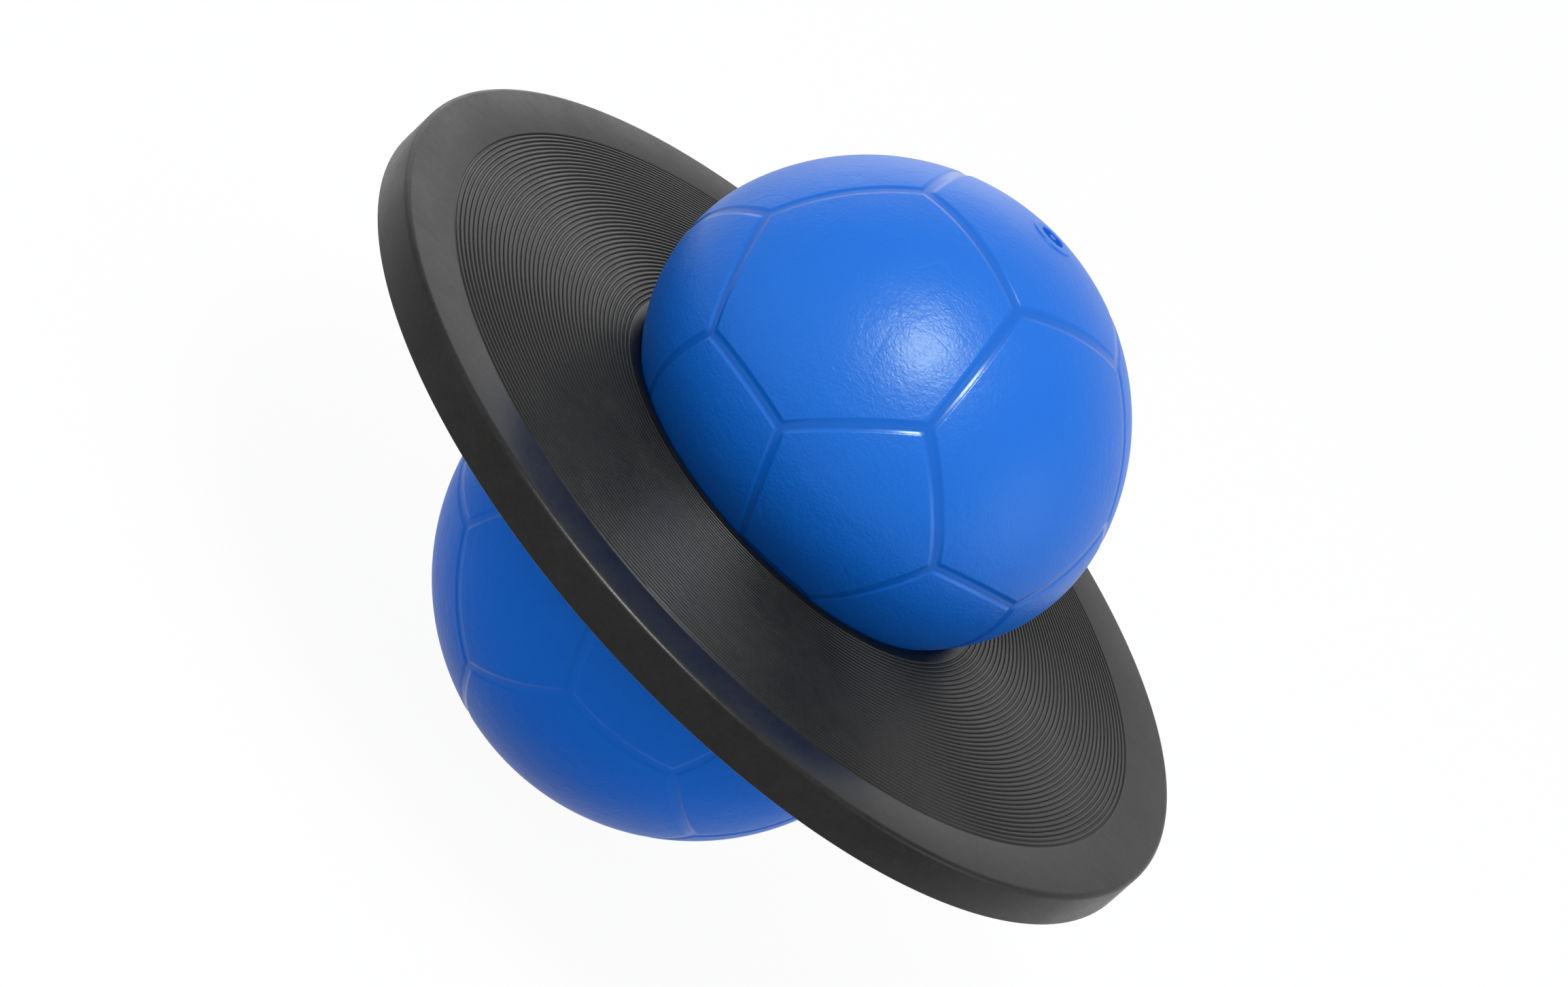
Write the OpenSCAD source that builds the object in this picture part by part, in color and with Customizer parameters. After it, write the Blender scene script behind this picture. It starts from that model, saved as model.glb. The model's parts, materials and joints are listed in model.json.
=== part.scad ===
// Bouncing balance disc: a ridged platform ring held in the waist of a two-lobed inflatable ball.
// Millimetres, +Z up along the platform's axis. The origin is on the floor under the centre.

/* [Platform] */
// Outside diameter of the platform
platform_d = 380; // [340:1:420]
// Height of the rim's side wall, from its lower edge to the plain band
rim_h = 16.4; // [13:0.1:20]
// Rounding of the rim's top edge
rim_round = 2.2; // [0.5:0.1:3]
// Width of the plain band around the tread
band_w = 22.5; // [12:0.5:34]
// Rise of the tread from the plain band to the collar
crown = 3.5; // [0.5:0.1:6]
// Wall thickness of the moulding
skin_t = 3.5; // [2.5:0.1:5]

/* [Tread] */
// Distance from one groove to the next
groove_pitch = 1.96; // [1.6:0.02:4]
// Width of a groove
groove_w = 0.9; // [0.4:0.1:1.2]
// Depth of a groove
groove_depth = 0.6; // [0.2:0.1:1.2]

/* [Collar] */
// Diameter of the bore that holds the ball's waist
bore_d = 157; // [145:1:165]
// Height of the collar around the bore
collar_h = 25.4; // [22:0.2:30]
// Wall thickness of the collar
collar_w = 8.2; // [6:0.1:12]
// Rounding of the collar's lips
lip_round = 4; // [1:0.1:5]
// Smooth ring between the upper lip and the first groove
smooth_w = 3.6; // [2:0.1:8]

/* [Ribs] */
// Number of radial ribs under the platform
rib_count = 24; // [8:1:36]
// Thickness of a rib
rib_t = 2.5; // [1.5:0.1:4]
// How far the ribs stop above the rim's lower edge
rib_rise = 2; // [0.5:0.1:5]
// Diameter of the ring rib at its middle
ring_rib_d = 272; // [220:1:320]

/* [Ball] */
// Diameter of each lobe
lobe_d = 193.2; // [186:0.2:206]
// Height of a lobe's centre from the middle of the waist
lobe_offset = 46.3; // [42:0.1:54]
// Angle above the lobe's centre at which it starts to draw in towards the waist
shoulder_angle = 18; // [8:1:28]
// Wall thickness of the ball
ball_wall = 3; // [2:0.1:5]
// Diameter of the flat that forms where the ball rests on the floor
contact_d = 36; // [20:1:50]

/* [Panels] */
// Width of the channel between two panels
channel_w = 4.5; // [2:0.1:6]
// Depth of the channels
channel_depth = 0.9; // [0.3:0.1:1.5]
// Turn of the panels around the platform's axis
panel_turn = -5.8; // [-36:0.1:36]
// Height below the middle of the waist from which the upper lobe's panels spread
upper_spread = 10; // [0:0.5:16]
// Lean of the upper lobe's panels to the back
upper_lean = 5.1; // [-12:0.1:12]
// Lean of the upper lobe's panels to the left
upper_side_lean = 1.1; // [-6:0.1:6]
// Lean of the lower lobe's panels to the back
lower_lean = 9.5; // [-12:0.1:12]
// Lean of the lower lobe's panels to the right
lower_side_lean = 2.2; // [-6:0.1:6]

/* [Valve] */
// Diameter of the seat's outer ring
seat_d = 18; // [16:0.1:24]
// How far the seat's ring stands above the skin
seat_stand = 0.5; // [0.2:0.1:1]
// How far the seat's ring is let into the skin
seat_sink = 0.9; // [0.5:0.1:1.5]
// Diameter of the seat's body in the wall
seat_body_d = 14; // [13:0.1:15]
// Diameter of the recess that hides the plug's head
recess_d = 11; // [9:0.1:12]
// Depth of the recess below the seat's ring
recess_depth = 2.6; // [2:0.1:4]
// Diameter of the stem inside the ball
stem_d = 10; // [8:0.1:12]
// Length of the stem below the wall
stem_l = 9; // [5:0.5:20]
// Diameter of the air bore
air_bore_d = 6; // [3:0.1:6.5]
// Thickness of the plug's head at its edge
head_t = 0.8; // [0.6:0.1:1.4]
// Radius of the plug's domed top
head_dome_r = 22; // [12:1:60]
// Diameter of the grip in the middle of the plug's head
grip_d = 3; // [2:0.1:5]
// Height of the grip above the head
grip_h = 1.2; // [0.5:0.1:2]
// Length of the plug's shank
shank_l = 9; // [5:0.5:14]

/* [Clearances] */
// Gap between the ball's waist and the platform's collar
waist_gap = 0.3; // [0.2:0.05:0.6]
// Gap around the seat where it is bonded into the wall
bond_gap = 0.1; // [0.05:0.05:0.3]
// Gap between the plug's shank and the air bore
shank_gap = 0.05; // [0.02:0.01:0.1]
// Gap between the plug's head and the recess
head_gap = 0.3; // [0.2:0.05:0.6]

/* [Hidden] */
$fn = 96;
platform_r = platform_d / 2;
bore_r = bore_d / 2;
lobe_r = lobe_d / 2;
contact_r = contact_d / 2;

// Heights in the platform, from the middle of the waist
collar_top = collar_h / 2;
band_z = collar_top - crown;
rim_bottom = band_z - rim_h;
rib_bottom = rim_bottom + rib_rise;

// Radii in the platform
tread_ir = bore_r + lip_round + smooth_w;
tread_or = platform_r - band_w;
collar_r = bore_r + collar_w;
groove_count = floor((tread_or - tread_ir - groove_w) / groove_pitch) + 1;
arch_steps = 16;

// The tighter arc's slice reaches this far into its neighbours, inside their outline, so that all three join
overlap_angle = 4;

// Ball outline, one lobe above the middle of the waist: a large arc around the lobe's centre,
// a tighter arc that draws in below the shoulder, and a hollow arc around the collar's lip.
lip_centre = [bore_r + lip_round, collar_top - lip_round];
lobe_centre = [0, lobe_offset];
shoulder_dir = [cos(shoulder_angle), sin(shoulder_angle)];
neck_round = lip_round + waist_gap;
reach = lip_centre - lobe_centre - lobe_r * shoulder_dir;
draw_in_r = (reach * reach - neck_round * neck_round) / (2 * (neck_round - reach * shoulder_dir));
draw_in_centre = lobe_centre + (lobe_r - draw_in_r) * shoulder_dir;
lip_dir = lip_centre - draw_in_centre;
lip_angle = atan2(lip_dir[1], lip_dir[0]);

// The flat at the bottom sets how high the waist stands
contact_sag = lobe_r - sqrt(lobe_r * lobe_r - contact_r * contact_r);
waist_z = lobe_offset + lobe_r - contact_sag;

// Leans of the panels as turns about X and then Y
upper_turns = [-upper_lean, -upper_side_lean, 0];
lower_turns = [lower_lean, -lower_side_lean, 0];

// The valve is in the middle of the pentagon on top of the ball
top_dir = [
    cos(upper_turns[0]) * sin(upper_turns[1]),
    -sin(upper_turns[0]),
    cos(upper_turns[0]) * cos(upper_turns[1])
];
top_lean = acos(top_dir[2]);
valve_turn = atan2(top_dir[1], top_dir[0]);
valve_lean = top_lean + asin((upper_spread + lobe_offset) * sin(top_lean) / lobe_r);

// Directions of an icosahedron's corners: two poles and two rings of five
ring_angle = atan(2);
icosahedron = concat(
    [[0, 0, 1]],
    [for (k = [0 : 4]) direction(ring_angle, 72 * k)],
    [for (k = [0 : 4]) direction(180 - ring_angle, 36 + 72 * k)],
    [[0, 0, -1]]
);
corners = [0 : 11];

// Football seams: a pentagon around each corner, and the middle third of each edge
pentagon_seams = [
    for (i = corners, j = corners, k = corners)
        if (j < k && near(i, j) && near(i, k) && near(j, k)) [third(i, j), third(i, k)]
];
hexagon_seams = [
    for (i = corners, j = corners)
        if (i < j && near(i, j)) [third(i, j), third(j, i)]
];
seams = concat(pentagon_seams, hexagon_seams);

// Valve heights, from the ball's surface along the valve's axis
recess_floor = seat_stand - recess_depth;
stem_end = -ball_wall - stem_l;

platform_colour = [0.16, 0.16, 0.15];
ball_colour = [0.10, 0.38, 0.85];
seat_colour = [0.13, 0.42, 0.88];
plug_colour = [0.08, 0.32, 0.80];

function direction(from_top, turn) =
    [sin(from_top) * cos(turn), sin(from_top) * sin(turn), cos(from_top)];

// Whether two corners of the icosahedron share an edge
function near(i, j) = i != j && icosahedron[i] * icosahedron[j] > 0.4;

// Direction a third of the way from corner i to corner j
function third(i, j) =
    let (p = 2 * icosahedron[i] + icosahedron[j])
        p / norm(p);

// Height of the tread's arched top at radius r, before its grooves are cut
function tread_z(r) = band_z + crown * (1 - pow((r - tread_ir) / (tread_or - tread_ir), 2));

// Middle radius of groove i, counted from the plain band inwards
function groove_r(i) = tread_or - groove_w / 2 - i * groove_pitch;

// One groove of the tread as four corners, from its outer edge to its inner edge
function groove_points(i) = [
    for (step = [[0.5, 0], [0.5, 1], [-0.5, 1], [-0.5, 0]])
        let (r = groove_r(i) + step[0] * groove_w)
            [r, tread_z(r) - step[1] * groove_depth]
];

// Arched line at a depth below the tread, from the smooth ring out to the plain band
function arch_points(depth) = [
    for (i = [0 : arch_steps])
        let (r = tread_ir + (tread_or - tread_ir) * i / arch_steps)
            [r, tread_z(r) - depth]
];

// A square corner that is to be rounded, with the round part taken out
module corner_trim(size) {
    difference() {
        square(size + 1);
        circle(size);
    }
}

// Pie slice of a circle between two angles less than half a turn apart
module slice(centre, r, from, to) {
    far = 2 * r;
    middle = (from + to) / 2;
    translate(centre)
        intersection() {
            circle(r);
            polygon([
                [0, 0],
                far * [cos(from), sin(from)],
                far * [cos(middle), sin(middle)],
                far * [cos(to), sin(to)]
            ]);
        }
}

// Half section of the ball above the waist, with its surface set in by inset
module lobe_section(inset) {
    polygon([
        [0, 0],
        [lip_centre[0], 0],
        lip_centre,
        draw_in_centre,
        lobe_centre
    ]);
    slice(draw_in_centre, draw_in_r - inset, lip_angle - overlap_angle, shoulder_angle + overlap_angle);
    slice(lobe_centre, lobe_r - inset, shoulder_angle, 90);
}

module ball_section(inset) {
    round = neck_round + inset;
    difference() {
        lobe_section(inset);
        translate(lip_centre) circle(round);
        translate([lip_centre[0] - round, -1]) square([round + 1, lip_centre[1] + 1]);
    }
}

// The same section with the flat that rests on the floor
module flattened_section(inset) {
    intersection() {
        ball_section(inset);
        square([lobe_d, waist_z - inset]);
    }
}

// The lobe's walls between two insets from the ball's surface
module lobe_shell(outer, inner) {
    rotate_extrude()
        difference() {
            ball_section(outer);
            ball_section(inner);
        }
}

// Wedge of a seam: a flat plate of the channel's width between two directions.
// It reaches a third of that width past both, so that the channels join at the corners.
module seam_wedge(from, to) {
    across = cross(from, to) / norm(cross(from, to));
    along = cross(across, from);
    spare = atan(channel_w / 3 / (lobe_offset + lobe_r));
    end = acos(from * to) + spare;
    far = 2 * lobe_d;
    multmatrix([
        [from[0], along[0], across[0], 0],
        [from[1], along[1], across[1], 0],
        [from[2], along[2], across[2], 0],
        [0, 0, 0, 1]
    ])
        linear_extrude(channel_w, center = true)
            polygon([[0, 0], far * [cos(spare), -sin(spare)], far * [cos(end), sin(end)]]);
}

// Channels of the lobe above the middle of the waist, or of the one below it where side is -1
module channels(side, spread, turns) {
    for (seam = seams)
        if (side * seam[0][2] > 0 && side * seam[1][2] > 0)
            intersection() {
                mirror([0, 0, side < 0 ? 1 : 0]) lobe_shell(-channel_depth, channel_depth);
                translate([0, 0, -side * spread])
                    rotate(turns)
                        rotate(panel_turn)
                            seam_wedge(seam[0], seam[1]);
            }
}

// Moves local valve heights to the valve's place on the upper lobe
module at_valve() {
    translate([0, 0, waist_z + lobe_offset])
        rotate([0, valve_lean, valve_turn])
            translate([0, 0, lobe_r])
                children();
}

// Section of the platform's skin, rim wall and collar
module platform_section() {
    rim_in = platform_r - skin_t;
    difference() {
        polygon(concat(
            [
                [bore_r, -collar_top],
                [collar_r, -collar_top],
                [collar_r, tread_z(tread_ir) - skin_t]
            ],
            [for (p = arch_points(skin_t)) if (p[0] > collar_r) p],
            [
                [rim_in, band_z - skin_t],
                [rim_in, rim_bottom],
                [platform_r, rim_bottom],
                [platform_r, band_z]
            ],
            [for (i = [0 : groove_count - 1]) each groove_points(i)],
            [
                [tread_ir, collar_top],
                [bore_r, collar_top]
            ]
        ));
        translate([platform_r - rim_round, band_z - rim_round]) corner_trim(rim_round);
        translate(lip_centre) mirror([1, 0]) corner_trim(lip_round);
        translate([lip_centre[0], -lip_centre[1]]) rotate(180) corner_trim(lip_round);
    }
}

// Radial rib from the collar to the rim wall, up into the arched skin
module radial_rib() {
    root_r = collar_r - skin_t / 2;
    tip_r = platform_r - skin_t / 2;
    seat = skin_t / 2;
    rotate([90, 0, 0])
        linear_extrude(rib_t, center = true)
            polygon(concat(
                [
                    [tip_r, band_z - seat],
                    [tip_r, rib_bottom],
                    [root_r, rib_bottom],
                    [root_r, collar_top - seat]
                ],
                arch_points(seat)
            ));
}

module ring_rib() {
    height = tread_z(ring_rib_d / 2) - skin_t / 2 - rib_bottom;
    translate([0, 0, rib_bottom])
        difference() {
            cylinder(d = ring_rib_d + rib_t, h = height);
            translate([0, 0, -1]) cylinder(d = ring_rib_d - rib_t, h = height + 2);
        }
}

module platform() {
    color(platform_colour)
        translate([0, 0, waist_z]) {
            rotate_extrude() platform_section();
            ring_rib();
            for (i = [0 : rib_count - 1])
                rotate(i * 360 / rib_count) radial_rib();
        }
}

module upper_lobe() {
    color(ball_colour)
        difference() {
            translate([0, 0, waist_z])
                difference() {
                    lobe_shell(0, ball_wall);
                    channels(1, upper_spread, upper_turns);
                }
            at_valve() {
                translate([0, 0, -2 * ball_wall])
                    cylinder(d = seat_body_d + 2 * bond_gap, h = 3 * ball_wall);
                translate([0, 0, -seat_sink])
                    cylinder(d = seat_d + 2 * bond_gap, h = ball_wall);
            }
        }
}

module lower_lobe() {
    color(ball_colour)
        translate([0, 0, waist_z])
            difference() {
                mirror([0, 0, 1])
                    rotate_extrude()
                        difference() {
                            flattened_section(0);
                            flattened_section(ball_wall);
                        }
                channels(-1, 0, lower_turns);
            }
}

module valve_seat() {
    color(seat_colour)
        at_valve()
            difference() {
                union() {
                    translate([0, 0, -seat_sink])
                        cylinder(d = seat_d, h = seat_sink + seat_stand);
                    translate([0, 0, -ball_wall])
                        cylinder(d = seat_body_d, h = ball_wall);
                    translate([0, 0, stem_end])
                        cylinder(d = stem_d, h = -stem_end);
                }
                translate([0, 0, recess_floor])
                    cylinder(d = recess_d, h = recess_depth + 1);
                translate([0, 0, stem_end - 1])
                    cylinder(d = air_bore_d, h = 1 - stem_end);
            }
}

module valve_plug() {
    head_d = recess_d - 2 * head_gap;
    shank_d = air_bore_d - 2 * shank_gap;
    dome_h = head_dome_r - sqrt(head_dome_r * head_dome_r - head_d * head_d / 4);
    color(plug_colour)
        at_valve()
            translate([0, 0, recess_floor]) {
                intersection() {
                    cylinder(d = head_d, h = head_t + dome_h + 1);
                    translate([0, 0, head_t + dome_h - head_dome_r]) sphere(head_dome_r);
                }
                cylinder(d = grip_d, h = head_t + dome_h + grip_h);
                translate([0, 0, -shank_l]) cylinder(d = shank_d, h = shank_l + head_t / 2);
            }
}

platform();
upper_lobe();
lower_lobe();
valve_seat();
valve_plug();
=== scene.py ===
"""Looks of a bouncing balance disc: a ridged platform ring in the waist of a two-lobed vinyl ball."""

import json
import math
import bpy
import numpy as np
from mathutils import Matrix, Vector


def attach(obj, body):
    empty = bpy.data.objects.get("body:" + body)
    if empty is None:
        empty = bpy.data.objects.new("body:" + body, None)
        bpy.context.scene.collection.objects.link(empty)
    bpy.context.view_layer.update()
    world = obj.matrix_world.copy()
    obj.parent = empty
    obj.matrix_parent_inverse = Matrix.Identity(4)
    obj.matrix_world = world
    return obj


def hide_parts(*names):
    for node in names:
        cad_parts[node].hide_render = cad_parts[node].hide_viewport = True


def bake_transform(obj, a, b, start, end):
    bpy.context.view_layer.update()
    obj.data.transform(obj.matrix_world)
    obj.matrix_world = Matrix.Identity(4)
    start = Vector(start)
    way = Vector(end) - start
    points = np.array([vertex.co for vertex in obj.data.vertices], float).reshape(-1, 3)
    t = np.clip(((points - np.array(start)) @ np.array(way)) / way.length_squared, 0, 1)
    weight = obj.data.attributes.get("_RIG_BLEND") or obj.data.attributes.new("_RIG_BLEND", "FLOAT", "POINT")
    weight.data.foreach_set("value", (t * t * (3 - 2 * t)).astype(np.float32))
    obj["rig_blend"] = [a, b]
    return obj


bl_info = {
    "name": "Bouncing Balance Disc",
    "version": (1, 0, 0),
    "blender": (4, 5, 0),
    "location": "View3D > Sidebar > Balance Disc",
    "description": "Models the platform, the football-patterned ball, its valve and a white studio",
    "category": "Add Mesh",
}

import bmesh
import bpy
from bpy.props import FloatProperty, FloatVectorProperty, IntProperty, PointerProperty
from mathutils import Matrix, Vector

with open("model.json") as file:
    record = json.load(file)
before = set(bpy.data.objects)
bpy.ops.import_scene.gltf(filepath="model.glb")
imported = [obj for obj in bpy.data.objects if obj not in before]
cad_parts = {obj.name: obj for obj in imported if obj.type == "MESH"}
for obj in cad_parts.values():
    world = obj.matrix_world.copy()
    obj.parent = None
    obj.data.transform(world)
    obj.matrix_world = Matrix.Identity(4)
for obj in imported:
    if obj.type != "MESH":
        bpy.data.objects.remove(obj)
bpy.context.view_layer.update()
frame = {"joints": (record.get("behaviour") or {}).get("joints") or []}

MM = 0.001
JOINTS = {joint["name"]: joint for joint in frame["joints"]}
WAIST_Z = JOINTS["platform_turn"]["pos_m"][2]
BOUNCE_TRAVEL = JOINTS["bounce"]["range_m"][1]
VALVE_AXIS = Vector(JOINTS["plug_pull"]["axis"])

# Turns past which an edge is shaded as a hard one, on the mouldings and on the ball
HARD_EDGE = math.radians(50)
PANEL_EDGE = math.radians(30)

# Points of a rounded edge, as shares of its rounding along and down
ROUNDED_EDGE = ((1, 0), (0.5, 0.13), (0.13, 0.5), (0, 1))

# Width of the narrow ring around each panel that keeps its edge even
PANEL_RING = 0.4 * MM

# Mean distance from the waist to the skin, as a share of the distance to the lobe's top
MEAN_REACH = 0.88

# How far the skin reaches in under the valve's ring
VALVE_LAP = 1 * MM

# Tint of the vinyl's shine, which keeps the highlight from turning pure white
VINYL_SHINE = (0.88, 1, 0.6, 1)

# Directions from the aim point to the lamps, and how far the sheen lamp stands in front of the key
OVER_FRONT = Vector((-0.083, -0.488, 0.869))
FROM_BEHIND = Vector((-0.5, 0.9, 0.15))
FROM_LEFT = Vector((-0.81, -0.545, 0.225))
FROM_RIGHT = Vector((0.92, -0.1, 0.32))
SHEEN_STEP = 10 * MM


def size(name, description, default):
    """A length property in metres, given in millimetres."""
    return FloatProperty(
        name=name, description=description, default=default * MM, min=0, unit="LENGTH", precision=5
    )


def angle(name, description, degrees):
    """An angle property, given in degrees."""
    return FloatProperty(
        name=name, description=description, default=math.radians(degrees), unit="ROTATION"
    )


def share(name, description, default):
    """A property from 0 to 1."""
    return FloatProperty(
        name=name, description=description, default=default, min=0, max=1, subtype="FACTOR"
    )


def power(name, description, watts):
    """A lamp's power, in watts."""
    return FloatProperty(name=name, description=description, default=watts, min=0, unit="POWER")


def count(name, description, default):
    """A whole number of at least 1."""
    return IntProperty(name=name, description=description, default=default, min=1)


def colour(name, description, default):
    """A colour property, as linear red, green and blue."""
    return FloatVectorProperty(
        name=name, description=description, default=default, size=3, min=0, max=1, subtype="COLOR"
    )


class PlatformSettings(bpy.types.PropertyGroup):
    """Sizes and colours of the platform"""

    diameter: size("Diameter", "Outside diameter of the platform", 380)
    rim_height: size("Rim height", "Height of the rim's side wall", 16.4)
    rim_round: size("Rim rounding", "Rounding of the rim's top edge", 2.2)
    band_width: size("Band width", "Width of the plain band around the tread", 22.5)
    crown: size("Crown", "Rise of the tread from the plain band to the collar", 3.5)
    skin: size("Skin", "Wall thickness of the moulding", 3.5)
    groove_pitch: size("Groove pitch", "Distance from one groove to the next", 1.96)
    groove_width: size("Groove width", "Width of a groove at the top", 0.9)
    groove_depth: size("Groove depth", "Depth of a groove", 0.6)
    ridge_round: size("Ridge rounding", "Rounding of the ridges' edges", 0.36)
    bore_diameter: size("Bore", "Diameter of the bore that holds the ball's waist", 157)
    collar_height: size("Collar height", "Height of the collar around the bore", 25.4)
    collar_width: size("Collar wall", "Wall thickness of the collar", 8.2)
    lip_round: size("Lip rounding", "Rounding of the collar's lips", 4)
    smooth_width: size("Smooth ring", "Smooth ring between the upper lip and the tread", 3.6)
    edge_round: size("Edge rounding", "Rounding of the lower edges", 0.5)
    rib_count: count("Ribs", "Number of radial ribs under the platform", 24)
    rib_width: size("Rib width", "Thickness of a rib", 2.5)
    rib_rise: size("Rib rise", "How far the ribs stop above the rim's lower edge", 2)
    ring_rib_diameter: size("Ring rib", "Diameter of the ring rib at its middle", 272)
    ring_rib_turns: count("Ring rib segments", "Segments around the ring rib", 96)
    arch_steps: count("Arch steps", "Steps in the arch under the tread", 16)
    turns: count("Segments", "Segments around the platform", 200)
    plastic: colour("Plastic", "Colour of the black plastic", (0.005, 0.005, 0.0042))
    bloom: colour("Bloom", "Colour of the pale bloom on the plastic", (0.0125, 0.0125, 0.0115))


class BallSettings(bpy.types.PropertyGroup):
    """Sizes and colours of the ball"""

    lobe_diameter: size("Lobe diameter", "Diameter of each lobe", 193.2)
    lobe_offset: size("Lobe offset", "Height of a lobe's centre from the middle of the waist", 46.3)
    shoulder: angle("Shoulder", "Angle at which a lobe starts to draw in towards the waist", 18)
    waist_gap: size("Waist gap", "Gap between the waist and the platform", 0.3)
    wall: size("Wall", "Wall thickness of the ball", 3)
    channel_floor: size("Channel floor", "Width of the floor of the channels between the panels", 1.6)
    channel_side: size("Channel side", "Width of a channel's rounded side", 1.9)
    channel_depth: size("Channel depth", "Depth of the channels", 0.42)
    panel_turn: angle("Panel turn", "Turn of the panels around the platform's axis", -5.9)
    upper_spread: size("Upper spread", "Height below the waist from which the upper panels spread", 6.9)
    upper_lean: angle("Upper lean", "Lean of the upper panels to the back", 3.2)
    upper_side_lean: angle("Upper side lean", "Lean of the upper panels to the left", 1.1)
    lower_lean: angle("Lower lean", "Lean of the lower panels to the back", 7.3)
    lower_side_lean: angle("Lower side lean", "Lean of the lower panels to the right", 2.1)
    flat_softness: size("Flat softness", "How softly the lower lobe turns into its flat", 0.4)
    panel_cuts: count("Panel cuts", "Cuts along the edge of a panel", 23)
    floor_cuts: count("Floor cuts", "Cuts across half a channel's floor", 2)
    side_cuts: count("Side cuts", "Cuts across a channel's side", 6)
    vinyl: colour("Vinyl", "Colour of the upper lobe", (0.004, 0.136, 0.6))
    # Painted shade: the channels' vinyl is darker than the panels', standing in for the shade that falls in
    # the channels
    shaded_channel_vinyl: colour("Channel vinyl", "Colour of the vinyl in the channels", (0.0032, 0.116, 0.53))
    # Painted fill light: the lower lobe's vinyl is a lighter copy of the upper lobe's, standing in for light
    # under the platform
    painted_fill_vinyl: colour("Scuffed vinyl", "Colour of the lower lobe", (0.006, 0.144, 0.65))
    gloss: share("Gloss", "Specular level of the upper lobe and the valve", 0.24)
    scuffed_gloss: share("Scuffed gloss", "Specular level of the lower lobe", 0.08)


class ValveSettings(bpy.types.PropertyGroup):
    """Sizes of the valve"""

    ring_diameter: size("Ring", "Diameter of the raised ring", 18)
    ring_stand: size("Ring stand", "How far the ring stands above the skin", 0.36)
    recess_diameter: size("Recess", "Diameter of the recess", 10.2)
    recess_depth: size("Recess depth", "Depth of the recess below the ring", 2.6)
    body_diameter: size("Body", "Diameter of the seat's body in the wall", 14)
    stem_diameter: size("Stem", "Diameter of the stem inside the ball", 10)
    stem_length: size("Stem length", "Length of the stem below the skin", 12)
    bore_diameter: size("Air bore", "Diameter of the air bore", 6)
    head_gap: size("Head gap", "Gap between the plug's head and the recess", 0.15)
    head_edge: size("Head edge", "Thickness of the plug's head at its edge", 0.8)
    head_dome: size("Head dome", "Rise of the plug's head to its middle", 0.6)
    grip_diameter: size("Grip", "Diameter of the grip on the plug", 3)
    grip_height: size("Grip height", "Height of the grip above the head", 1.2)
    shank_gap: size("Shank gap", "Gap between the plug's shank and the bore", 0.05)
    shank_length: size("Shank length", "Length of the plug's shank", 9)
    edge_round: size("Edge rounding", "Rounding of the valve's edges", 0.35)
    turns: count("Segments", "Segments around the valve", 64)


class StageSettings(bpy.types.PropertyGroup):
    """Camera, lamps and floor"""

    camera_distance: size("Camera distance", "Distance from the camera to the aim point", 2985.6)
    camera_elevation: angle("Camera elevation", "Height of the camera above the horizon", 22.24)
    camera_roll: angle("Camera roll", "Turn of the picture", 47.35)
    aim_height: size("Aim height", "Height of the aim point above the middle of the waist", 7.05)
    aim_right: size("Aim right", "How far right of the picture's middle the aim point is", 3.27)
    aim_up: size("Aim up", "How far above the picture's middle the aim point is", 2.1)
    lens: FloatProperty(
        name="Lens", description="Focal length on a 36 mm sensor", default=187.41, min=1, unit="CAMERA"
    )
    key_power: power("Key lamp", "Power of the lamp over the front", 24)
    key_size: size("Key size", "Width of the lamp over the front", 500)
    key_distance: size("Key distance", "Distance of the lamp over the front", 2200)
    sheen_power: power("Sheen", "Extra power of the key lamp in reflections", 62)
    back_power: power("Back lamp", "Power of the lamp behind", 46)
    back_size: size("Back size", "Width of the lamp behind", 3900)
    back_distance: size("Back distance", "Distance of the lamp behind", 4500)
    left_power: power("Left lamp", "Power of the lamp on the left", 9)
    left_size: size("Left size", "Width of the lamp on the left", 2400)
    left_distance: size("Left distance", "Distance of the lamp on the left", 2400)
    right_power: power("Right lamp", "Power of the lamp on the right", 9.5)
    right_size: size("Right size", "Width of the lamp on the right", 1200)
    right_distance: size("Right distance", "Distance of the lamp on the right", 2100)
    sky: colour("Sky", "Colour of the studio's soft light", (0.55, 0.58, 0.64))
    floor: colour("Floor", "Colour of the floor", (0.62, 0.62, 0.62))
    floor_white: share("Floor white", "Share of the floor's look that is plain white", 0.92)
    floor_glow: FloatProperty(
        name="Floor glow", description="Strength of the floor's plain white", default=1.03, min=0
    )


class Wire:
    """An output socket in a node tree. Arithmetic on it adds Math nodes."""

    def __init__(self, tree, socket=None):
        self.tree = tree
        self.socket = socket

    def node(self, kind, settings=None, feeds=None, out=0):
        """Adds a node, sets its settings, feeds its sockets and returns one of its outputs."""
        made = self.tree.nodes.new("ShaderNode" + kind)
        for name, value in (settings or {}).items():
            if name == "stops":
                self.set_stops(made.color_ramp, value)
            else:
                setattr(made, name, value)
        for name, value in (feeds or {}).items():
            if isinstance(value, Wire):
                self.tree.links.new(value.socket, made.inputs[name])
            else:
                made.inputs[name].default_value = value
        return Wire(self.tree, made.outputs[out] if made.outputs else None)

    @staticmethod
    def set_stops(ramp, stops):
        """Gives a colour ramp its stops, as pairs of a place and a grey value."""
        while len(ramp.elements) < len(stops):
            ramp.elements.new(0.5)
        for element, (place, value) in zip(ramp.elements, stops):
            element.position = place
            element.color = (value, value, value, 1)

    def math(self, operation, *values):
        """One Math node with these values as its inputs."""
        return self.node("Math", {"operation": operation}, dict(enumerate(values)))

    def ramp(self, *stops):
        """A grey ramp of this value."""
        return self.node("ValToRGB", {"stops": stops}, {0: self})

    def mix(self, start, end):
        """A colour from start to end by this value."""
        return self.node("Mix", {"data_type": "RGBA"}, {0: self, 6: rgba(start), 7: rgba(end)}, 2)

    def __add__(self, other):
        return self.math("ADD", self, other)

    __radd__ = __add__

    def __sub__(self, other):
        return self.math("SUBTRACT", self, other)

    def __rsub__(self, other):
        return self.math("SUBTRACT", other, self)

    def __mul__(self, other):
        return self.math("MULTIPLY", self, other)

    __rmul__ = __mul__


def rgba(value):
    """A colour with its alpha, or a wire as it is."""
    return value if isinstance(value, Wire) else (*value, 1)


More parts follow.
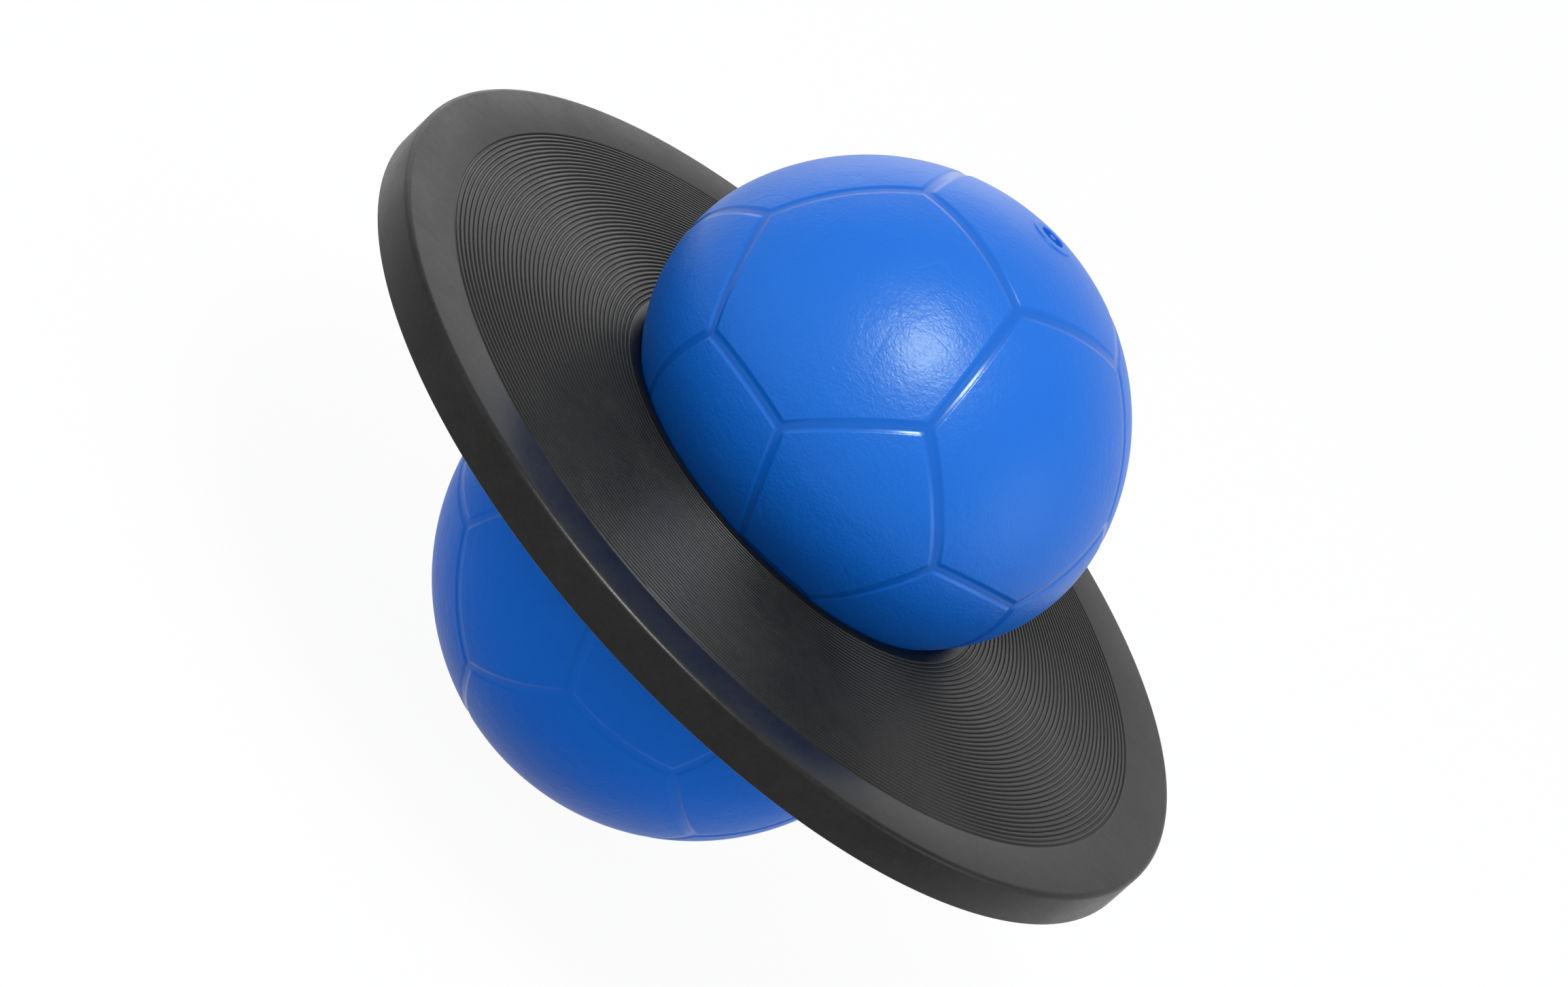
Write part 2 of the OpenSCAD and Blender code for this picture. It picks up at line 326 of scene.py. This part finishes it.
class Finish(Wire):
    """A new material's node tree, with the coordinates and textures that its recipe uses."""

    def __init__(self, name):
        self.material = bpy.data.materials.new(name)
        self.material.use_nodes = True
        super().__init__(self.material.node_tree)
        self.tree.nodes.clear()
        self.place = self.node("TexCoord", out=3)

    def noise(self, feature_size, detail=2.0, rough=0.5, warp=0.0, place=None):
        """Noise whose features are about feature_size metres across."""
        return self.node(
            "TexNoise",
            feeds={
                "Vector": place or self.place,
                "Scale": 1 / feature_size,
                "Detail": detail,
                "Roughness": rough,
                "Distortion": warp,
            },
        )

    def stretched(self, turn, times):
        """Object coordinates stretched along the Z axis after a turn around Y."""
        return self.node(
            "Mapping",
            {"vector_type": "TEXTURE"},
            {"Vector": self.place, "Rotation": (0, turn, 0), "Scale": (1, 1, times)},
        )

    def bump(self, height, depth, strength=1.0, under=None):
        """A bump of the height's full range times depth in metres, over another bump."""
        feeds = {"Height": height, "Distance": depth, "Strength": strength}
        if under:
            feeds["Normal"] = under
        return self.node("Bump", feeds=feeds)

    def done(self, **sockets):
        """Adds the surface shader with these sockets, and returns the material."""
        feeds = {name.replace("_", " "): value for name, value in sockets.items()}
        surface = self.node("BsdfPrincipled", feeds=feeds)
        self.node("OutputMaterial", feeds={"Surface": surface})
        return self.material


def black_plastic(settings):
    """Satin black plastic with a cloudy pale bloom, a faint mottle and a fine grain."""
    finish = Finish("black_plastic")
    clouds = finish.noise(0.045, detail=4, rough=0.6, warp=0.6)
    streaks = finish.noise(0.012, detail=3, rough=0.65, warp=0.3)
    mottle = finish.noise(0.0022, detail=2, rough=0.6)
    bloom = (clouds * 0.5 + streaks * 0.25 + mottle * 0.25).ramp((0.4, 0), (0.64, 1))
    grain = finish.noise(0.0007, detail=2, rough=0.6)
    waves = finish.noise(0.006, detail=2)
    normal = finish.bump(grain, 0.00006, 0.7, finish.bump(waves, 0.0001, 0.5))
    return finish.done(
        Base_Color=bloom.mix(settings.plastic, settings.bloom),
        Roughness=bloom * 0.12 + 0.3,
        Specular_IOR_Level=0.18,
        Normal=normal,
    )


def blue_vinyl(name, vinyl, shaded_channel_colour, gloss, grain=1.0):
    """Satin blue vinyl with a leather grain and a few long creases, smooth in the channels, whose darker
    colour there is painted shade.
    """
    finish = Finish(name)
    rise = finish.node("Attribute", {"attribute_name": "rise"}, out=2)
    panel = rise.ramp((0.8, 0), (1, 1))
    across = finish.stretched(math.pi / 2, 1.4)
    wrinkles = finish.noise(0.0013, detail=1, rough=0.4, warp=0.8, place=across)
    uneven = finish.noise(0.005, detail=1)
    leather = (wrinkles + uneven * 0.8) * panel
    lines = finish.noise(0.016, detail=0, place=finish.stretched(-0.86, 7))
    crease = finish.math("ABSOLUTE", lines - 0.5).ramp((0.0, 0), (0.035, 1))
    some = finish.noise(0.04, detail=1).ramp((0.5, 0), (0.66, 1))
    sunk = 1 - (1 - crease) * some * panel
    waves = finish.bump(finish.noise(0.018, detail=1), 0.0004 * grain)
    creased = finish.bump(sunk, 0.00006 * grain, under=waves)
    normal = finish.bump(leather, 0.00014 * grain, under=creased)
    return finish.done(
        # Painted shade: the darker colour in the channels stands in for the shade that falls in them
        Base_Color=rise.ramp((0.5, 0), (0.95, 1)).mix(shaded_channel_colour, vinyl),
        Roughness=panel * 0.13 + 0.27,
        Specular_IOR_Level=gloss,
        Specular_Tint=VINYL_SHINE,
        Normal=normal,
    )


def new_piece(name, mesh_builder, finish, body, slot, *nodes):
    """Makes a bmesh an object with a finish in the place of CAD nodes, riding on a body, if any."""
    mesh = bpy.data.meshes.new(name)
    mesh_builder.to_mesh(mesh)
    mesh_builder.free()
    mesh.materials.append(finish)
    piece = bpy.data.objects.new(name, mesh)
    bpy.context.scene.collection.objects.link(piece)
    if body:
        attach(piece, body)
    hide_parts(*nodes)
    return piece


def shade(mesh_builder, sharp_angle):
    """Smooths all faces, and keeps the edges sharp where they turn by more than the angle."""
    for face in mesh_builder.faces:
        face.smooth = True
    for edge in mesh_builder.edges:
        edge.smooth = edge.calc_face_angle(0) < sharp_angle


def wire_loop(mesh_builder, points):
    """Closed wire of (radius, height) points in the plane y = 0."""
    verts = [mesh_builder.verts.new((r, 0, z)) for r, z in points]
    for start, end in zip(verts, verts[1:] + verts[:1]):
        mesh_builder.edges.new((start, end))
    return verts


def spin(mesh_builder, points, turns):
    """Turns a closed outline of (radius, height) points once around Z."""
    verts = wire_loop(mesh_builder, points)
    edges = list({edge for vert in verts for edge in vert.link_edges})
    bmesh.ops.spin(
        mesh_builder,
        geom=verts + edges,
        axis=(0, 0, 1),
        cent=(0, 0, 0),
        angle=math.tau,
        steps=turns,
        use_merge=True,
    )


def arc(centre, radius, start, end, steps):
    """Points on an arc from one angle to another, in degrees."""
    turn = math.radians(end - start) / steps
    first = math.radians(start)
    turns = [first + i * turn for i in range(steps + 1)]
    return [(centre[0] + radius * math.cos(a), centre[1] + radius * math.sin(a)) for a in turns]


class PlatformShape:
    """Heights and radii of the platform, with heights from the middle of the waist."""

    def __init__(self, settings):
        self.set = settings
        self.outer = settings.diameter / 2
        self.bore = settings.bore_diameter / 2
        self.collar_top = settings.collar_height / 2
        self.band_z = self.collar_top - settings.crown
        self.rim_bottom = self.band_z - settings.rim_height
        self.rib_bottom = self.rim_bottom + settings.rib_rise
        self.tread_in = self.bore + settings.lip_round + settings.smooth_width
        self.tread_out = self.outer - settings.band_width
        self.collar_out = self.bore + settings.collar_width
        self.lip = Vector((self.bore + settings.lip_round, self.collar_top - settings.lip_round))
        usable = self.tread_out - self.tread_in - settings.groove_width
        self.grooves = int(usable / settings.groove_pitch) + 1

    def tread_z(self, radius):
        """Height of the arched tread before its grooves."""
        across = (radius - self.tread_in) / (self.tread_out - self.tread_in)
        return self.band_z + self.set.crown * (1 - across**2)

    def arch(self, depth):
        """Points at a depth below the arched tread, from inside to outside."""
        step = (self.tread_out - self.tread_in) / self.set.arch_steps
        radii = [self.tread_in + i * step for i in range(self.set.arch_steps + 1)]
        return [(radius, self.tread_z(radius) - depth) for radius in radii]

    def groove(self, index):
        """One groove with rounded ridge edges, from inside to outside."""
        width, depth, soft = self.set.groove_width, self.set.groove_depth, self.set.ridge_round
        middle = self.tread_out - width / 2 - index * self.set.groove_pitch
        wall = width / 2
        floor = 0.6 * wall
        edge = [(wall + along * soft, down * soft) for along, down in ROUNDED_EDGE]
        shape = [(-across, down) for across, down in edge]
        shape += [(-floor, depth), (floor, depth)]
        shape += reversed(edge)
        return [(middle + across, self.tread_z(middle + across) - down) for across, down in shape]

    def outline(self):
        """Closed half section of the moulding, from the lower lip up the bore and round."""
        lip_round, edge, skin = self.set.lip_round, self.set.edge_round, self.set.skin
        rim_in = self.outer - skin
        points = arc((self.lip.x, -self.lip.y), lip_round, 270, 180, 6)
        points += arc(self.lip, lip_round, 180, 90, 8)
        for index in reversed(range(self.grooves)):
            points += self.groove(index)
        rim = self.outer - self.set.rim_round, self.band_z - self.set.rim_round
        points += arc(rim, self.set.rim_round, 90, 0, 6)
        points += arc((self.outer - edge, self.rim_bottom + edge), edge, 0, -90, 3)
        points += arc((rim_in + edge, self.rim_bottom + edge), edge, -90, -180, 3)
        points += [(rim_in, self.band_z - skin)]
        points += [point for point in reversed(self.arch(skin)) if point[0] > self.collar_out]
        points += [(self.collar_out, self.collar_top - skin)]
        points += arc((self.collar_out - edge, -self.collar_top + edge), edge, 0, -90, 3)
        return points


def add_ribs(mesh_builder, shape):
    """Radial ribs and the ring rib under the tread."""
    seat = shape.set.skin / 2
    root, tip = shape.collar_out - seat, shape.outer - seat
    outline = [(tip, shape.rib_bottom), (tip, shape.band_z - seat)]
    outline += list(reversed(shape.arch(seat)))
    outline += [(root, shape.collar_top - seat), (root, shape.rib_bottom)]
    half = shape.set.rib_width / 2
    verts = [mesh_builder.verts.new((r, -half, z)) for r, z in outline]
    side = mesh_builder.faces.new(verts)
    grown = bmesh.ops.extrude_face_region(mesh_builder, geom=[side])
    moved = [item for item in grown["geom"] if isinstance(item, bmesh.types.BMVert)]
    bmesh.ops.translate(mesh_builder, verts=moved, vec=(0, 2 * half, 0))
    rib = verts + moved
    faces = list({face for vert in rib for face in vert.link_faces})
    edges = list({edge for vert in rib for edge in vert.link_edges})
    bmesh.ops.recalc_face_normals(mesh_builder, faces=faces)
    bmesh.ops.spin(
        mesh_builder,
        geom=rib + edges + faces,
        axis=(0, 0, 1),
        cent=(0, 0, 0),
        angle=math.tau * (1 - 1 / shape.set.rib_count),
        steps=shape.set.rib_count - 1,
        use_duplicate=True,
    )
    ring = shape.set.ring_rib_diameter / 2
    top = shape.tread_z(ring) - seat
    inner = [(ring - half, shape.rib_bottom), (ring - half, top)]
    outer = [(ring + half, top), (ring + half, shape.rib_bottom)]
    spin(mesh_builder, inner + outer, shape.set.ring_rib_turns)


class DISC_OT_platform(bpy.types.Operator):
    """Models the ridged black platform with its ribs"""

    bl_idname = "disc.platform"
    bl_label = "Platform"

    def execute(self, context):
        settings = context.scene.disc_platform
        shape = PlatformShape(settings)
        builder = bmesh.new()
        spin(builder, shape.outline(), settings.turns)
        bmesh.ops.recalc_face_normals(builder, faces=builder.faces)
        add_ribs(builder, shape)
        bmesh.ops.translate(builder, verts=builder.verts, vec=(0, 0, WAIST_Z))
        shade(builder, HARD_EDGE)
        new_piece("deck", builder, black_plastic(settings), "ring", "platform_plastic", "platform")
        return {"FINISHED"}


class BallOutline:
    """Outline of one lobe around the axis, with heights from the middle of the waist."""

    def __init__(self, ball, platform):
        self.lip = PlatformShape(platform).lip
        self.neck = platform.lip_round + ball.waist_gap
        self.lobe = Vector((0, ball.lobe_offset))
        self.lobe_r = ball.lobe_diameter / 2
        self.shoulder = ball.shoulder
        outwards = Vector((math.cos(self.shoulder), math.sin(self.shoulder)))
        reach = self.lip - self.lobe - self.lobe_r * outwards
        self.draw_r = (reach.length_squared - self.neck**2) / (2 * (self.neck - reach.dot(outwards)))
        self.draw = self.lobe + (self.lobe_r - self.draw_r) * outwards
        to_lip = self.lip - self.draw
        self.lip_angle = math.atan2(to_lip.y, to_lip.x)

    @staticmethod
    def crossing(start, along, centre, radius, far):
        """Where a line from start crosses a circle, at its far or near side."""
        offset = start - centre
        middle = -along.dot(offset)
        under = middle**2 - offset.length_squared + radius**2
        half = math.sqrt(max(under, 0))
        return start + (middle + (half if far else -half)) * along

    @staticmethod
    def bearing(point, centre):
        """Angle of a point around a centre."""
        return math.atan2(point.y - centre.y, point.x - centre.x)

    def hit(self, start_z, elevation, inset):
        """Radius and height where a ray from the axis meets the outline, set in by inset."""
        start = Vector((0, start_z))
        along = Vector((math.cos(elevation), math.sin(elevation)))
        point = self.crossing(start, along, self.lobe, self.lobe_r - inset, True)
        if self.bearing(point, self.lobe) >= self.shoulder:
            return point
        point = self.crossing(start, along, self.draw, self.draw_r - inset, True)
        if self.bearing(point, self.draw) >= self.lip_angle:
            return point
        neck = self.neck + inset
        point = self.crossing(start, along, self.lip, neck, False)
        if point.y >= self.lip.y:
            return point
        waist = self.lip.x - neck
        return Vector((waist, start_z + waist * math.tan(elevation)))


def football(ball, side):
    """Truncated icosahedron around one pole, cut fine, with its channels marked in a layer.

    The layer rise is 0 along the seams, 1 at the edge of a channel's floor,
    and 2 and more on the panels."""
    builder = bmesh.new()
    bmesh.ops.create_icosphere(builder, subdivisions=1, radius=1)
    bmesh.ops.bevel(
        builder,
        geom=builder.verts[:],
        offset=100 / 3,
        offset_type="PERCENT",
        affect="VERTICES",
        segments=1,
        profile=0.5,
        material=-1,
    )
    other_side = [face for face in builder.faces if max(side * vert.co.z for vert in face.verts) < -0.1]
    bmesh.ops.delete(builder, geom=other_side, context="FACES")
    rise = builder.verts.layers.float.new("rise")
    panels = builder.faces[:]
    distance = (ball.lobe_diameter / 2 + ball.lobe_offset) * MEAN_REACH
    scale = panels[0].verts[0].co.length / distance
    rings = (
        (ball.channel_floor / 2, ball.floor_cuts),
        (ball.channel_side, ball.side_cuts),
        (PANEL_RING, 0),
    )
    across = []
    for level, (width, cuts) in enumerate(rings, 1):
        inner = set(builder.verts)
        bmesh.ops.inset_individual(builder, faces=panels, thickness=width * scale, use_even_offset=True)
        for vert in set(builder.verts) - inner:
            vert[rise] = level
        across.append((cuts, [edge for edge in builder.edges if rises_to(edge, rise, level)]))
    bmesh.ops.poke(builder, faces=panels)
    for cuts, edges in across:
        if cuts:
            bmesh.ops.subdivide_edges(builder, edges=edges, cuts=cuts)
    along = [edge for edge in builder.edges if abs(edge.verts[0][rise] - edge.verts[1][rise]) < 1e-4]
    bmesh.ops.subdivide_edges(builder, edges=along, cuts=ball.panel_cuts, use_grid_fill=True)
    return builder


def rises_to(edge, rise, level):
    """Whether an edge leads across a channel from the level below to this level."""
    low, high = sorted(vert[rise] for vert in edge.verts)
    return low == level - 1 and high == level


def channel_profile(rise):
    """Share of the channel's depth across it: a flat floor, then a side rounded at both ends."""
    up = min(max(rise - 1, 0), 1)
    return 1 - up * up * (3 - 2 * up)


def throw_on_lobe(builder, ball, outline, side, spread, lean):
    """Moves a football's points out onto a lobe along rays from a point near the waist."""
    rise = builder.verts.layers.float["rise"]
    turned = lean @ Matrix.Rotation(ball.panel_turn, 3, "Z")
    for vert in builder.verts:
        aim = turned @ vert.co.normalized()
        elevation = math.asin(side * aim.z)
        inset = ball.channel_depth * channel_profile(vert[rise])
        radius, height = outline.hit(-spread, elevation, inset)
        around = math.atan2(aim.y, aim.x)
        vert.co = (radius * math.cos(around), radius * math.sin(around), side * height)
        vert[rise] = min(vert[rise] / 2, 1)


def cut_at_waist(builder, side):
    """Cuts a lobe off at the middle of the waist and closes the cut."""
    geometry = builder.verts[:] + builder.edges[:] + builder.faces[:]
    bmesh.ops.bisect_plane(
        builder, geom=geometry, dist=1e-7, plane_co=(0, 0, 0), plane_no=(0, 0, -side), clear_outer=True
    )
    rim = [edge for edge in builder.edges if edge.is_boundary]
    bmesh.ops.holes_fill(builder, edges=rim, sides=0)


class DISC_OT_ball(bpy.types.Operator):
    """Models the two lobes of the ball with their football panels"""

    bl_idname = "disc.ball"
    bl_label = "Ball"

    def execute(self, context):
        ball = context.scene.disc_ball
        outline = BallOutline(ball, context.scene.disc_platform)
        clean = blue_vinyl("blue_vinyl", ball.vinyl, ball.shaded_channel_vinyl, ball.gloss)
        # Painted fill light: the lower lobe's finish uses a lighter copy of the vinyl, standing in for light
        # under the platform
        painted_fill_finish = blue_vinyl("painted_fill_vinyl", ball.painted_fill_vinyl, ball.painted_fill_vinyl, ball.scuffed_gloss)
        self.upper(context, ball, outline, clean)
        self.lower(ball, outline, painted_fill_finish)
        return {"FINISHED"}

    def upper(self, context, ball, outline, finish):
        """The upper lobe, with a hole for the valve."""
        side = 1
        builder = football(ball, side)
        to_left = Matrix.Rotation(-ball.upper_side_lean, 3, "Y")
        lean = to_left @ Matrix.Rotation(-ball.upper_lean, 3, "X")
        throw_on_lobe(builder, ball, outline, side, ball.upper_spread, lean)
        cut_at_waist(builder, side)
        self.open_for_valve(builder, ball, context.scene.disc_valve.recess_diameter / 2 + VALVE_LAP)
        bmesh.ops.translate(builder, verts=builder.verts, vec=(0, 0, WAIST_Z))
        shade(builder, PANEL_EDGE)
        new_piece("upper_skin", builder, finish, "ball", "ball_skin", "upper_lobe")

    @staticmethod
    def open_for_valve(builder, ball, reach):
        """Opens the lobe under the valve's ring, which covers the edge of the hole."""
        centre = Vector((0, 0, ball.lobe_offset))
        inside = [
            vert for vert in builder.verts
            if (vert.co - centre).dot(VALVE_AXIS) > 0
            and (vert.co - centre).cross(VALVE_AXIS).length < reach
        ]
        bmesh.ops.delete(builder, geom=inside, context="VERTS")

    def lower(self, ball, outline, finish):
        """The lower lobe, flat where it rests on the floor, whose bottom is pressed in by a bounce."""
        side = -1
        builder = football(ball, side)
        to_right = Matrix.Rotation(-ball.lower_side_lean, 3, "Y")
        lean = to_right @ Matrix.Rotation(ball.lower_lean, 3, "X")
        throw_on_lobe(builder, ball, outline, side, 0, lean)
        cut_at_waist(builder, side)
        bmesh.ops.translate(builder, verts=builder.verts, vec=(0, 0, WAIST_Z))
        for vert in builder.verts:
            vert.co.z = (vert.co.z + math.hypot(vert.co.z, ball.flat_softness)) / 2
        shade(builder, PANEL_EDGE)
        piece = new_piece("lower_skin", builder, finish, None, "ball_skin", "lower_lobe")
        # The bend ends below the floor, so that the bottom flattens too
        middle = WAIST_Z - ball.lobe_offset
        lowest = -0.45 * BOUNCE_TRAVEL
        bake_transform(piece, "ball", "bouncer", start=(0, 0, middle), end=(0, 0, lowest))


def at_valve(ball):
    """Matrix from the valve's own frame, whose origin is on the skin, to the row's frame."""
    centre = Vector((0, 0, WAIST_Z + ball.lobe_offset))
    place = Matrix.Translation(centre + VALVE_AXIS * ball.lobe_diameter / 2)
    return place @ VALVE_AXIS.to_track_quat("Z", "Y").to_matrix().to_4x4()


class DISC_OT_valve(bpy.types.Operator):
    """Models the valve's ring with its stem, and the plug"""

    bl_idname = "disc.valve"
    bl_label = "Valve"

    def execute(self, context):
        valve = context.scene.disc_valve
        ball = context.scene.disc_ball
        finish = blue_vinyl("smooth_vinyl", ball.vinyl, ball.shaded_channel_vinyl, ball.gloss, grain=0.3)
        place = at_valve(ball)
        seat = self.turned(self.seat_outline(valve, ball), valve, place)
        new_piece("valve_ring", seat, finish, "ball", "valve_rubber", "valve_seat")
        plug = self.turned(self.plug_outline(valve), valve, place)
        new_piece("valve_stopper", plug, finish, "stopper", "valve_rubber", "valve_plug")
        return {"FINISHED"}

    @staticmethod
    def turned(outline, valve, place):
        """A spun outline, moved to the valve's place."""
        builder = bmesh.new()
        spin(builder, outline, valve.turns)
        bmesh.ops.remove_doubles(builder, verts=builder.verts, dist=1e-7)
        bmesh.ops.recalc_face_normals(builder, faces=builder.faces)
        rise = builder.verts.layers.float.new("rise")
        for vert in builder.verts:
            vert[rise] = 1
        bmesh.ops.transform(builder, matrix=place, verts=builder.verts)
        shade(builder, HARD_EDGE)
        return builder

    @staticmethod
    def seat_outline(valve, ball):
        """Half section of the seat: the raised ring, its recess, the body in the wall and the stem."""
        ring, recess = valve.ring_diameter / 2, valve.recess_diameter / 2
        edge, bore = valve.edge_round, valve.bore_diameter / 2
        sag = ring**2 / ball.lobe_diameter
        floor = valve.ring_stand - valve.recess_depth
        points = [(bore, -valve.stem_length), (bore, floor), (recess, floor)]
        points += arc((recess + edge, valve.ring_stand - edge), edge, 180, 90, 4)
        points += arc((ring - 2 * edge, valve.ring_stand - 0.6 * sag - 2 * edge), 2 * edge, 90, 10, 5)
        points += [(ring, -sag - edge), (valve.body_diameter / 2, -sag - 2 * edge)]
        points += [(valve.body_diameter / 2, -ball.wall), (valve.stem_diameter / 2, -ball.wall)]
        points += [(valve.stem_diameter / 2, -valve.stem_length)]
        return points

    @staticmethod
    def plug_outline(valve):
        """Half section of the plug: the domed head with its grip, and the shank."""
        floor = valve.ring_stand - valve.recess_depth
        head = valve.recess_diameter / 2 - valve.head_gap
        shank = valve.bore_diameter / 2 - valve.shank_gap
        grip, edge = valve.grip_diameter / 2, valve.edge_round
        dome = floor + valve.head_edge + valve.head_dome
        top = dome + valve.grip_height
        axis = 1e-6
        points = [(axis, floor - valve.shank_length), (shank, floor - valve.shank_length)]
        points += [(shank, floor), (head, floor)]
        points += arc((head - edge, floor + valve.head_edge - edge), edge, 0, 70, 3)
        points += [(0.7 * head, dome - 0.45 * valve.head_dome)]
        points += [(grip + edge, dome - 0.1 * valve.head_dome), (grip, dome + 0.5 * edge)]
        points += arc((grip - edge, top - edge), edge, 0, 90, 4)
        points += [(axis, top)]
        return points


class DISC_OT_stage(bpy.types.Operator):
    """Makes the camera, the lamps, the white surroundings and the floor"""

    bl_idname = "disc.stage"
    bl_label = "Stage"

    def execute(self, context):
        stage = context.scene.disc_stage
        context.scene.view_settings.view_transform = "Standard"
        aim = Vector((0, 0, WAIST_Z + stage.aim_height))
        self.camera(context, stage, aim)
        self.lamp("key_lamp", aim, OVER_FRONT, stage.key_distance, stage.key_size, stage.key_power)
        nearer = stage.key_distance - SHEEN_STEP
        sheen = self.lamp("sheen_lamp", aim, OVER_FRONT, nearer, stage.key_size, stage.sheen_power)
        sheen.visible_diffuse = False
        self.lamp("back_lamp", aim, FROM_BEHIND, stage.back_distance, stage.back_size, stage.back_power)
        self.lamp("left_lamp", aim, FROM_LEFT, stage.left_distance, stage.left_size, stage.left_power)
        self.lamp("right_lamp", aim, FROM_RIGHT, stage.right_distance, stage.right_size, stage.right_power)
        self.surroundings(context, stage)
        self.floor(stage)
        return {"FINISHED"}

    @staticmethod
    def camera(context, stage, aim):
        """The camera, looking along +Y and down, with the picture turned."""
        tilt, roll = stage.camera_elevation, stage.camera_roll
        forward = Vector((0, math.cos(tilt), -math.sin(tilt)))
        level_right = Vector((1, 0, 0))
        level_up = level_right.cross(forward)
        right = level_right * math.cos(roll) + level_up * math.sin(roll)
        up = level_up * math.cos(roll) - level_right * math.sin(roll)
        place = aim - forward * stage.camera_distance - right * stage.aim_right - up * stage.aim_up
        data = bpy.data.cameras.new("camera")
        data.lens = stage.lens
        data.sensor_width = 36
        data.clip_end = 100
        camera = bpy.data.objects.new("camera", data)
        turn = Matrix((right, up, -forward)).transposed()
        camera.matrix_world = Matrix.Translation(place) @ turn.to_4x4()
        context.scene.collection.objects.link(camera)
        context.scene.camera = camera

    @staticmethod
    def lamp(name, aim, towards, distance, width, power):
        """A square lamp in a direction from the aim point, turned to it."""
        data = bpy.data.lights.new(name, "AREA")
        data.size = width
        data.energy = power
        lamp = bpy.data.objects.new(name, data)
        place = aim + towards.normalized() * distance
        turn = (-towards).to_track_quat("-Z", "Y").to_matrix().to_4x4()
        lamp.matrix_world = Matrix.Translation(place) @ turn
        lamp.visible_camera = False
        bpy.context.scene.collection.objects.link(lamp)
        return lamp

    @staticmethod
    def looked_at(wire):
        """1 for rays that show the background itself, to the camera or in a reflection."""
        rays = "Is Camera Ray", "Is Glossy Ray", "Is Transmission Ray"
        seen, mirrored, through = (wire.node("LightPath", out=ray) for ray in rays)
        return wire.math("MINIMUM", seen + mirrored + through, 1)

    def surroundings(self, context, stage):
        """White surroundings that light the object softly."""
        world = bpy.data.worlds.new("studio")
        context.scene.world = world
        world.use_nodes = True
        world.node_tree.nodes.clear()
        wire = Wire(world.node_tree)
        soft = wire.node("Background", feeds={"Color": (*stage.sky, 1), "Strength": 1})
        white = wire.node("Background", feeds={"Color": (1, 1, 1, 1), "Strength": 1})
        seen = wire.node("MixShader", feeds={0: self.looked_at(wire), 1: soft, 2: white})
        wire.node("OutputWorld", feeds={"Surface": seen})

    def floor(self, stage):
        """The floor, white where it is looked at, with the object's soft shadow."""
        finish = Finish("floor")
        lit = finish.node("BsdfDiffuse", feeds={"Color": (*stage.floor, 1)})
        white = finish.node("Emission", feeds={"Color": (1, 1, 1, 1), "Strength": stage.floor_glow})
        blend = self.looked_at(finish) * stage.floor_white
        surface = finish.node("MixShader", feeds={0: blend, 1: lit, 2: white})
        finish.node("OutputMaterial", feeds={"Surface": surface})
        builder = bmesh.new()
        bmesh.ops.create_grid(builder, x_segments=1, y_segments=1, size=20)
        mesh = bpy.data.meshes.new("floor")
        builder.to_mesh(mesh)
        builder.free()
        mesh.materials.append(finish.material)
        floor = bpy.data.objects.new("floor", mesh)
        bpy.context.scene.collection.objects.link(floor)


class DISC_PT_sidebar(bpy.types.Panel):
    """Lists the pieces of the balance disc"""

    bl_idname = "DISC_PT_sidebar"
    bl_label = "Balance Disc"
    bl_space_type = "VIEW_3D"
    bl_region_type = "UI"
    bl_category = "Balance Disc"

    def draw(self, context):
        for operator in OPERATORS:
            self.layout.operator(operator.bl_idname)
        for name in SETTINGS:
            group = getattr(context.scene, name)
            box = self.layout.box()
            for key in group.__annotations__:
                box.prop(group, key)


SETTINGS = {
    "disc_platform": PlatformSettings,
    "disc_ball": BallSettings,
    "disc_valve": ValveSettings,
    "disc_stage": StageSettings,
}
OPERATORS = (DISC_OT_stage, DISC_OT_platform, DISC_OT_ball, DISC_OT_valve)


def register():
    for name, group in SETTINGS.items():
        bpy.utils.register_class(group)
        setattr(bpy.types.Scene, name, PointerProperty(type=group))
    for item in (*OPERATORS, DISC_PT_sidebar):
        bpy.utils.register_class(item)


def unregister():
    for item in (DISC_PT_sidebar, *reversed(OPERATORS)):
        bpy.utils.unregister_class(item)
    for name, group in reversed(SETTINGS.items()):
        delattr(bpy.types.Scene, name)
        bpy.utils.unregister_class(group)


def main():
    """Registers the add-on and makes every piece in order."""
    register()
    bpy.ops.disc.stage()
    bpy.ops.disc.platform()
    bpy.ops.disc.ball()
    bpy.ops.disc.valve()


if __name__ == "__main__":
    main()
